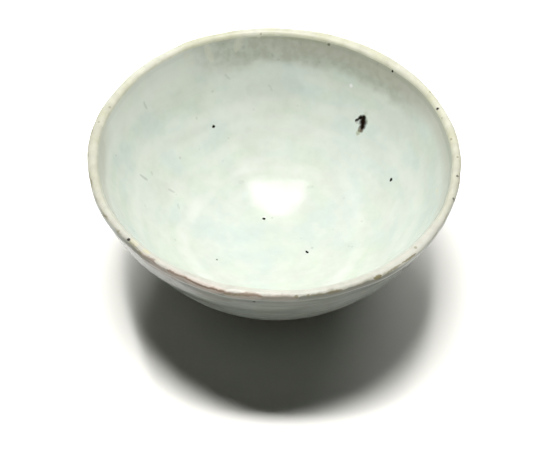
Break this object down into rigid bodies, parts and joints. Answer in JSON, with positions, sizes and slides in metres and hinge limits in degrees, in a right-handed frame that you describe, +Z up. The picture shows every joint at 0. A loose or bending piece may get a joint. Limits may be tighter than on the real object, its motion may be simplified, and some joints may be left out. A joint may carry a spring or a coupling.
{
  "type": "pottery bowl",
  "caption": "Round hand-thrown bowl with a flared, curving wall, a rounded bare lip, pale celadon glaze inside and out, and a low foot ring.",
  "frame": {"origin": "centre of the resting plane of the foot ring", "axes": "+Z up out of the bowl's mouth along the wheel's axis; the bowl is round about Z, and its rim is drawn slightly oval along a line between +X and -Y"},
  "size_m": [0.15, 0.15, 0.0663],
  "materials": {
    "ivory_clay": "smooth, with a thin satin skin of glaze",
    "buff_clay": "matte, dry to the touch",
    "celadon_inside": "glossy, pale bluish green with small iron specks",
    "celadon_outside": "glossy, pale bluish green over turning marks",
    "celadon_base": "glossy, thin and pooled at its edge"
  },
  "bodies": {
    "root": {"clay_body": "ivory_clay", "foot_ring": "buff_clay", "inner_glaze": "celadon_inside", "outer_glaze": "celadon_outside", "base_glaze": "celadon_base"}
  },
  "joints": []
}
